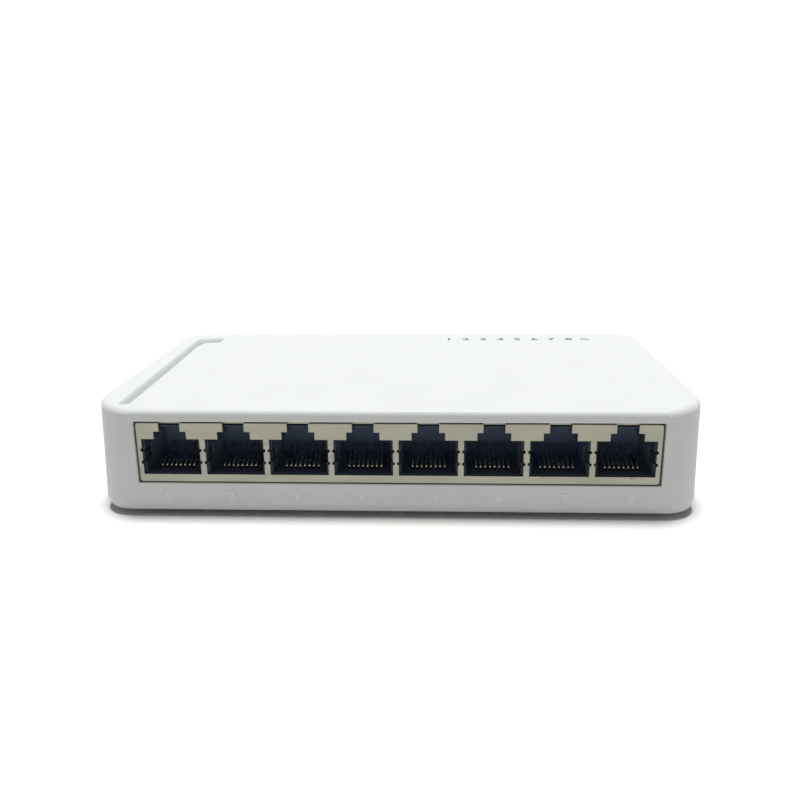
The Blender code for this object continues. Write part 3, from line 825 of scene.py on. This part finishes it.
def make_port_numbers():
    """Raised digits under the sockets in the shell's plastic, glossy and pale: the paleness is a
    painted highlight.
    """
    height, raised, sunk, bold, centre_z = 1.7 * MM, 0.2 * MM, 0.05 * MM, 0.015, 5.0 * MM
    upright = Matrix.Rotation(math.pi / 2, 4, "X")
    face_y = FRONT_Y + end_lean(centre_z)
    for number, x in enumerate(SOCKET_X, 1):
        # The digits stand off their sockets' middles: 1 to 4 to the left, 5 to 8 to the right
        shift = (-1.7 + 0.25 * number) * MM if number <= PORTS / 2 else 1.4 * MM
        bm = bmesh.new()
        place = (x + shift, face_y - raised / 2 + sunk, centre_z)
        add_character(bm, str(number), height, place, upright, raised, bold)
        bmesh.ops.remove_doubles(bm, verts=bm.verts, dist=0.001 * MM)
        add_piece(f"raised_number_{number}", bm, NUMBER_HIGHLIGHT_WHITE, edge=0)


def make_printed_marks():
    """Printed digits and a power sign on top, in line with the indicators."""
    mark_y, height, film, bold = 31.9 * MM, 3.1 * MM, 0.02 * MM, 0.025
    flat = Matrix.Identity(4)
    for number, x in enumerate(LED_X[:PORTS], 1):
        bm = bmesh.new()
        place = (x, mark_y, TOP_Z + film / 2)
        add_character(bm, str(number), height, place, flat, film, bold)
        bmesh.ops.remove_doubles(bm, verts=bm.verts, dist=0.0005 * MM)
        add_piece(f"printed_number_{number}", bm, INK, edge=0)
    bm = bmesh.new()
    radius, line = 1.0 * MM, 0.45 * MM
    centre = (LED_X[-1] - 0.4 * MM, mark_y - 0.1 * MM)
    start, end, steps = 125, 415, 28  # the open ring, in degrees
    outer = arc(centre, radius + line / 2, start, end, steps)
    inner = arc(centre, radius - line / 2, end, start, steps)
    add_prism(bm, outer + inner, TOP_Z, TOP_Z + film, "Z")
    x, y = centre
    bar_low, bar_high = y + 0.2 * MM, y + 1.5 * MM
    add_box(bm, (x - line / 2, bar_low, TOP_Z), (x + line / 2, bar_high, TOP_Z + film))
    add_piece("printed_power_sign", bm, INK, edge=0)


# ---------------------------------------------------------------- shield

OPENING = {"wide": 6.37 * MM, "middle": 3.57 * MM, "latch": 2.32 * MM}
OPENING_TOP = {"wide": PORT_BOTTOM + 8.1 * MM, "middle": PORT_BOTTOM + 9.8 * MM}


def stepped_side(half, top, latch_top):
    """The right side of a socket's outline above its notches, up the two steps to the latch."""
    return [
        (half["wide"], top["wide"]),
        (half["middle"], top["wide"]),
        (half["middle"], top["middle"]),
        (half["latch"], top["middle"]),
        (half["latch"], latch_top),
    ]


def opening_outline(x):
    """One opening in the shield, with two round notches in each side."""
    side = [(OPENING["wide"], PORT_BOTTOM)]
    for z in (TONGUE_Z[0] - NOTCH_R, TONGUE_Z[1] + NOTCH_R):
        side += arc((OPENING["wide"], z), NOTCH_R, -90, 90, 10)
    side += stepped_side(OPENING, OPENING_TOP, SHIELD_HIGH.z + GAP)
    left = [(-a, b) for a, b in reversed(side)]
    return [(x + a, b) for a, b in side + left]


def make_shield():
    """The can: front, top, sides and back, folded from one sheet."""
    fold_r, corner_r = 0.35 * MM, 0.6 * MM
    half = SHIELD_HIGH.x - ROW_X

    def outline(inset, low_z):
        """The can seen from the front: round corners, and an open bottom edge."""
        width, top = half - inset, SHIELD_HIGH.z - inset
        radius = corner_r - inset * 0.6
        points = arc((width - radius, top - radius), radius, 0, 90, 8)
        points += [(-a, b) for a, b in reversed(points)]
        lower = arc((-width + radius, low_z + radius), radius, 180, 270, 8)
        points += lower + [(-a, b) for a, b in reversed(lower)]
        return [(ROW_X + a, b) for a, b in points]

    rings = []
    for i in range(9):
        angle = math.pi / 2 * i / 8
        inset = fold_r * (1 - math.sin(angle))
        y = SHIELD_LOW.y + fold_r * (1 - math.cos(angle))
        rings.append([(a, y, b) for a, b in outline(inset, SHIELD_LOW.z)])
    rings.append([(a, SHIELD_HIGH.y, b) for a, b in outline(0, SHIELD_LOW.z)])
    bm = bmesh.new()
    add_rings(bm, rings)

    def inside(tool):
        inner = half - SHEET
        low = (ROW_X - inner, SHIELD_LOW.y + SHEET, 0)
        high = (ROW_X + inner, SHIELD_HIGH.y - SHEET, SHIELD_HIGH.z - SHEET)
        add_box(tool, low, high)

    def behind_board_edge(tool):
        low = (ROW_X - WINDOW_HALF, BOARD_LOW.y - GAP, 0)
        add_box(tool, low, (ROW_X + WINDOW_HALF, 0, SHIELD_LOW.z + 0.05 * MM))

    def openings(tool):
        for x in SOCKET_X:
            add_prism(tool, opening_outline(x), FRONT_Y - WALL, SHIELD_LOW.y + 3 * SHEET, "Y")

    steps = [("DIFFERENCE", inside), ("DIFFERENCE", behind_board_edge), ("DIFFERENCE", openings)]
    bm = boolean_mesh("shield_work", bm, steps)
    add_piece(
        "port_shield_pressing",
        bm,
        NICKEL,
        replaces=["port_shield"],
        edge=0,
    )
    make_tongues()


def make_tongues():
    """The grounding tongues, two in each opening, bent in from the shield's webs."""
    root, thickness, bend = SHIELD_LOW.y + SHEET / 2, 0.2 * MM, 0.4 * MM
    # Millimetres from the socket's middle and behind the shield's front
    reach = [(6.5, 0.0), (6.2, 0.3), (5.88, 2.4), (6.1, 3.8)]
    centre_z = (TONGUE_Z[0] + TONGUE_Z[1]) / 2
    bm = bmesh.new()
    for x in SOCKET_X:
        for side in (-1, 1):
            points = [(x + side * a * MM, root + b * MM, centre_z) for a, b in reach]
            path = smooth_path(points, bend, 4)
            add_strip(bm, path, (0, 0, 1), TONGUE_Z[1] - TONGUE_Z[0], thickness)
    add_piece("port_shield_tongues", bm, TONGUE_METAL, edge=0)


# ---------------------------------------------------------------- sockets

SOCKET = {"wide": 5.9 * MM, "middle": 3.5 * MM, "latch": 2.25 * MM}
SOCKET_FLOOR = 10.1 * MM
SOCKET_TOP = {"wide": 17.6 * MM, "middle": 19.3 * MM, "latch": 20.5 * MM}
SOCKET_END = -25.4 * MM
WIRES = 8
WIRE_PITCH = 1.016 * MM
WIRE_X = [(i - (WIRES - 1) / 2) * WIRE_PITCH for i in range(WIRES)]
# One wire's path, as (y, z) in millimetres: along the comb, up at the front, back and up
WIRE_ROUTE = [
    (-28.0, 9.55),
    (-34.2, 9.55),
    (-35.4, 10.1),
    (-35.7, 10.4),
    (-35.2, 10.75),
    (-27.2, 12.7),
]


def housing_shape():
    """One housing, centred on its own socket: cavity, comb for the wires, ways for the tongues."""
    bm = bmesh.new()
    add_box(
        bm,
        (-HOUSING_HALF, HOUSING_LOW.y, HOUSING_LOW.z),
        (HOUSING_HALF, HOUSING_HIGH.y, HOUSING_HIGH.z),
    )

    def cavity(tool):
        side = [(SOCKET["wide"], SOCKET_FLOOR)]
        side += stepped_side(SOCKET, SOCKET_TOP, SOCKET_TOP["latch"])
        outline = side + [(-a, b) for a, b in reversed(side)]
        add_prism(tool, outline, HOUSING_LOW.y - WALL, SOCKET_END, "Y")

    bay_floor, bay_top = HOUSING_LOW.z + 0.75 * MM, SOCKET_FLOOR + 0.1 * MM
    bay_y = -33.0 * MM

    def bay(tool):
        half = 4.2 * MM
        add_box(tool, (-half, bay_y, bay_floor), (half, SOCKET_END - 0.1 * MM, bay_top))

    def comb(tool):
        slot_half, comb_y = 0.33 * MM, -36.5 * MM
        for x in WIRE_X:
            low = (x - slot_half, comb_y, bay_floor)
            add_box(tool, low, (x + slot_half, bay_y + 0.2 * MM, bay_top))

    def tongue_ways(tool):
        low_z, high_z = TONGUE_Z[0] - GAP, TONGUE_Z[1] + GAP
        way_end = -34.4 * MM
        for side in (-1, 1):
            near, far = sorted((side * 5.4 * MM, side * 7 * MM))
            add_box(tool, (near, HOUSING_LOW.y - WALL, low_z), (far, way_end, high_z))

    tools = (cavity, bay, comb, tongue_ways)
    return boolean_mesh("housing_work", bm, [("DIFFERENCE", tool) for tool in tools])


def wire_shape():
    """Eight spring wires that lie in the comb, turn up at the front and lean back."""
    bend, width, thickness = 0.4 * MM, 0.34 * MM, 0.24 * MM
    bm = bmesh.new()
    for x in WIRE_X:
        points = [(x, y * MM, z * MM) for y, z in WIRE_ROUTE]
        add_strip(bm, smooth_path(points, bend, 6), (1, 0, 0), width, thickness)
    return bm


def make_sockets():
    """Housings, wires, and the block that holds each set of wires by its rear end."""
    housing, wires = housing_shape(), wire_shape()
    block_low = (-3.9 * MM, -30.6 * MM, 9.2 * MM)
    block_high = (3.9 * MM, -25.8 * MM, 9.9 * MM)
    for number, x in enumerate(SOCKET_X, 1):
        place = (x, 0, 0)
        add_piece(
            f"port_housing_moulding_{number}",
            housing.copy(),
            SOCKET_BLACK,
            place,
            [f"port_housing_{number}"],
            edge=0.06 * MM,
        )
        add_piece(
            f"port_contact_wires_{number}",
            wires.copy(),
            GOLD,
            place,
            [f"port_contacts_{number}"],
            edge=0,
        )
        carrier = bmesh.new()
        add_box(carrier, block_low, block_high)
        add_piece(
            f"port_contact_carrier_{number}",
            carrier,
            SOCKET_BLACK,
            place,
            edge=0.15 * MM,
        )
    housing.free()
    wires.free()


# ---------------------------------------------------------------- underside

COVER_FLANGE_TOP = 2.79 * MM
COVER_PLATE_TOP = 3.1 * MM
COVER_LIP_TOP = 4.5 * MM


def make_bottom_cover():
    flange_inset, lip_inset, lip_width, edge_r = 0.5 * MM, 2.35 * MM, 1.25 * MM, 0.35 * MM
    corner_extra = 1.5 * MM  # of the lip, to keep clear of the shell's wall

    def ring(inset, z, extra_r=0.0):
        return [(x, y, z) for x, y in body_outline(inset, extra_r=extra_r)]

    rings, steps = [], 4
    for i in range(steps + 1):
        angle = math.pi / 2 * i / steps
        inset = flange_inset + edge_r * (1 - math.sin(angle))
        rings.append(ring(inset, FOOT_HEIGHT + edge_r * (1 - math.cos(angle))))
    rings.append(ring(flange_inset, COVER_FLANGE_TOP))
    bm = bmesh.new()
    add_rings(bm, rings)

    def lip(tool):
        heights = (FOOT_HEIGHT + 0.4 * MM, COVER_LIP_TOP)
        add_rings(tool, [ring(lip_inset, z, corner_extra) for z in heights])

    def pocket(tool):
        inset = lip_inset + lip_width
        add_rings(tool, [ring(inset, z, corner_extra) for z in (COVER_PLATE_TOP, TOP_Z)])

    def posts(tool):
        foot = COVER_PLATE_TOP - 0.5 * MM
        for x, y, _ in BOSSES:
            add_cylinder(tool, PAD_R, (x, y, foot), (x, y, PAD_TOP))
        for x, y in [(screw.x, screw.y) for screw in BOARD_SCREWS] + BOARD_PINS:
            add_cylinder(tool, POST_R, (x, y, foot), (x, y, BOARD_LOW.z - GAP))

    def pins(tool):
        pin_top = BOARD_HIGH.z + 0.8 * MM
        for x, y in BOARD_PINS:
            add_cylinder(tool, PIN_R, (x, y, COVER_PLATE_TOP), (x, y, pin_top), 24)

    def holes(tool):
        # Known fault: the head recess and the screw hole overlap in this one tool, so the recess
        # is lost and the screws' heads sit in solid plastic. They need a step each.
        for x, y, _ in BOSSES:
            add_cylinder(tool, HEAD_R, (x, y, 0), (x, y, HEAD_TOP))
            add_cylinder(tool, SCREW_HOLE_R, (x, y, FOOT_HEIGHT), (x, y, TOP_Z), 24)
        for x, y, _ in BOARD_SCREWS:
            start = (x, y, COVER_PLATE_TOP + 0.4 * MM)
            add_cylinder(tool, PILOT_R, start, (x, y, BOARD_HIGH.z), 24)
        for x, y, _ in FEET:
            recess_top = FOOT_HEIGHT + 0.7 * MM
            add_cylinder(tool, FOOT_R + FOOT_GAP, (x, y, 0), (x, y, recess_top))

    def vents(tool):
        count, first, pitch = 6, 10, 4
        half_width, half_length, end_r = 0.9 * MM, 8 * MM, 0.85 * MM
        for sx in (-1, 1):
            for i in range(count):
                x = sx * (first + pitch * i) * MM
                low, high = (x - half_width, -half_length), (x + half_width, half_length)
                add_prism(tool, rounded_box(low, high, end_r), 0, COVER_LIP_TOP, "Z")

    steps = [("UNION", lip), ("DIFFERENCE", pocket), ("UNION", posts), ("UNION", pins)]
    steps += [("DIFFERENCE", holes), ("DIFFERENCE", vents)]
    bm = boolean_mesh("cover_work", bm, steps)
    add_piece(
        "bottom_cover_moulding",
        bm,
        COVER_WHITE,
        replaces=["bottom_cover"],
        edge=0.08 * MM,
        limit=25,
    )


def add_turned(bm, profile, place):
    """Turn a run of (radius, height) points about Z; flat discs close its two ends."""
    x, y = place
    segments = 48
    angles = [math.tau * i / segments for i in range(segments)]
    rings = []
    for radius, z in profile:
        rings.append([(x + radius * math.cos(a), y + radius * math.sin(a), z) for a in angles])
    add_rings(bm, rings)


def make_feet():
    """Round pads with a rounded lower edge and a shallow dish underneath."""
    top, edge_r = FOOT_HEIGHT + 0.4 * MM, 0.45 * MM
    profile = [(FOOT_R, top), (FOOT_R, edge_r)]
    profile += [(FOOT_R - edge_r + a, b) for a, b in arc((0, edge_r), edge_r, 0, -90, 6)]
    profile += [(2.6 * MM, 0), (2.2 * MM, 0.25 * MM), (0.6 * MM, 0.25 * MM)]
    for number, foot in enumerate(FEET, 1):
        bm = bmesh.new()
        add_turned(bm, profile, (foot.x, foot.y))
        bmesh.ops.remove_doubles(bm, verts=bm.verts, dist=0.001 * MM)
        add_piece(
            f"rubber_foot_pad_{number}",
            bm,
            RUBBER,
            replaces=[f"rubber_foot_{number}"],
            edge=0,
        )


# ---------------------------------------------------------------- power inlet


def make_inlet():
    """The inlet's housing with its round bore, and the pin in the middle of the bore."""
    low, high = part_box("power_inlet_housing")
    pin_low, pin_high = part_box("power_inlet_pin")
    shoulder, bore_end, way_r = 37.2 * MM, 30.0 * MM, 1.3 * MM

    def along(y):
        return (INLET_X, y, INLET_Z)

    bm = bmesh.new()
    block = rounded_box((low.x, low.z), (high.x, high.z), 0.4 * MM)
    add_prism(bm, block, low.y, shoulder, "Y")

    def collar(tool):
        add_cylinder(tool, INLET_COLLAR_R, along(shoulder - MM), along(high.y), 64)

    def bore(tool):
        add_cylinder(tool, INLET_BORE_R, along(bore_end), along(REAR_Y + MM), 64)

    def ways(tool):
        add_cylinder(tool, way_r, along(low.y - MM), along(bore_end + MM), 32)
        start = (INLET_X - way_r, bore_end + 0.2 * MM, 0)
        add_box(tool, start, (INLET_X + way_r, bore_end + 1.2 * MM, INLET_Z - 2 * MM))

    bm = boolean_mesh(
        "inlet_work", bm, [("UNION", collar), ("DIFFERENCE", bore), ("DIFFERENCE", ways)]
    )
    add_piece(
        "power_inlet_moulding",
        bm,
        INLET_BLACK,
        replaces=["power_inlet_housing"],
        edge=0.2 * MM,
    )

    radius, nose, segments = 1.0 * MM, 0.7 * MM, 32
    tail_half, tail_thick, tail_over = 0.9 * MM, 0.8 * MM, 1.2 * MM
    angles = [math.tau * i / segments for i in range(segments)]
    profile = [(radius, pin_low.y + 0.3 * MM), (radius, pin_high.y - nose)]
    profile += [
        (radius - nose * (1 - math.cos(t)), pin_high.y - nose * (1 - math.sin(t)))
        for t in (math.radians(15 * i) for i in range(1, 7))
    ]
    bm = bmesh.new()
    rings = []
    for r, y in profile:
        rings.append([(INLET_X + r * math.cos(a), y, INLET_Z + r * math.sin(a)) for a in angles])
    add_rings(bm, rings)

    def tail(tool):
        start = (INLET_X - tail_half, pin_low.y, pin_low.z)
        end = (INLET_X + tail_half, pin_low.y + tail_thick, INLET_Z + tail_over)
        add_box(tool, start, end)

    bm = boolean_mesh("pin_work", bm, [("UNION", tail)])
    add_piece(
        "power_inlet_centre_pin",
        bm,
        TIN,
        replaces=["power_inlet_pin"],
        edge=0.08 * MM,
    )


# ---------------------------------------------------------------- pieces with the frame's shape


def finish_frame_parts():
    """Materials and broken edges for the pieces that keep the frame's own shape."""
    looks = {
        # name: (material, width of the broken edges in millimetres)
        "main_board": (LAMINATE, 0.1),
        "switch_chip": (CHIP_BLACK, 0.05),
        "settings_memory": (CHIP_BLACK, 0.05),
        "voltage_regulator": (CHIP_BLACK, 0.05),
        "input_capacitor": (CAN, 0.2),
        "output_capacitor": (CAN, 0.2),
        "power_inductor": (FERRITE, 0.15),
        "clock_crystal": (TIN, 0.2),
        "light_guide": (CLEAR, 0.12),
        "power_inlet_spring": (TIN, 0.04),
    }
    looks |= {f"transformer_module_{n}": (CHIP_BLACK, 0.05) for n in range(1, 5)}
    looks |= {name: (LED_BODY, 0.08) for name in LED_NAMES}
    looks |= {f"case_screw_{n}": (STEEL, 0.05) for n in range(1, 5)}
    looks |= {f"board_screw_{n}": (STEEL, 0.05) for n in (1, 2)}
    for name, (mat, edge) in looks.items():
        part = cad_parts[name]
        part.data.materials.clear()
        part.data.materials.append(mat)
        soften(part, edge * MM)


make_camera()
make_light()
make_floor()
make_top_shell()
make_port_numbers()
make_printed_marks()
make_shield()
make_sockets()
make_bottom_cover()
make_feet()
make_inlet()
finish_frame_parts()
